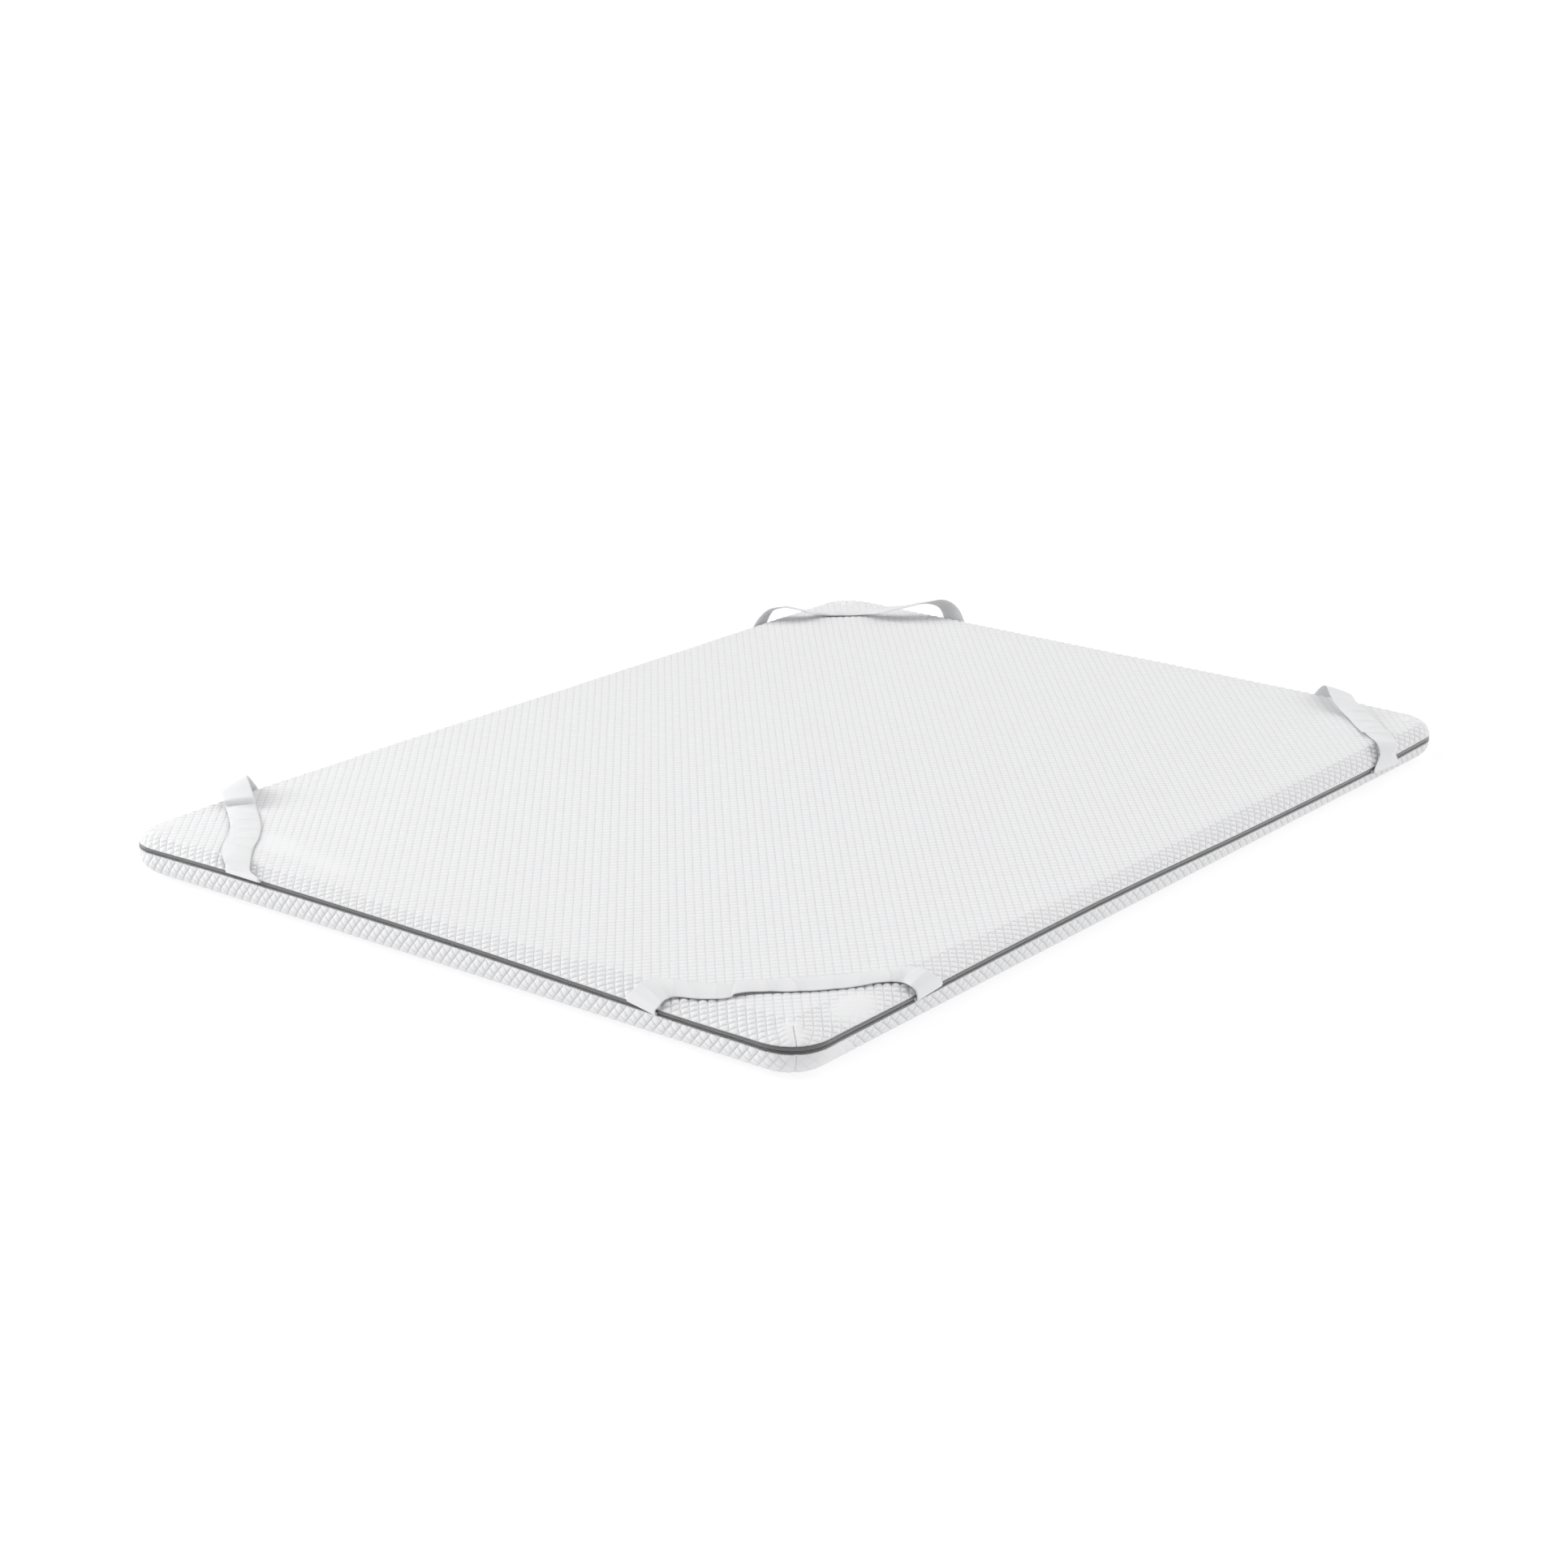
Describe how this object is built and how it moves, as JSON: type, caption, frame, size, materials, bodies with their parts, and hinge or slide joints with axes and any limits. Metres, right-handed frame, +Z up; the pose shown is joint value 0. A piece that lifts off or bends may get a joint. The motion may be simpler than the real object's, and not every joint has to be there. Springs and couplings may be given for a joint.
{
  "type": "mattress topper",
  "caption": "Slim quilted mattress topper with rounded corners, a zip running all the way round its sides, and a slack elastic strap across each corner.",
  "frame": {"origin": "middle of the underside, on the surface that the topper lies on", "axes": "+X across the width, +Y along the length towards the end that is far from the picture's camera, +Z up"},
  "size_m": [1.4172, 2.0171, 0.1129],
  "materials": {
    "quilted_knit": "matte quilted double knit, white",
    "zip_tape": "woven polyester zip tape, mid grey",
    "zip_coil": "satin nylon coil, dark grey",
    "elastic": "soft woven elastic, off-white"
  },
  "bodies": {
    "root": {"cover_upper": "quilted_knit", "cover_lower": "quilted_knit", "zip_tape_upper": "zip_tape", "zip_tape_lower": "zip_tape", "zip_coil": "zip_coil", "strap_near": "elastic", "strap_left": "elastic", "strap_far": "elastic", "strap_right": "elastic"}
  },
  "joints": []
}
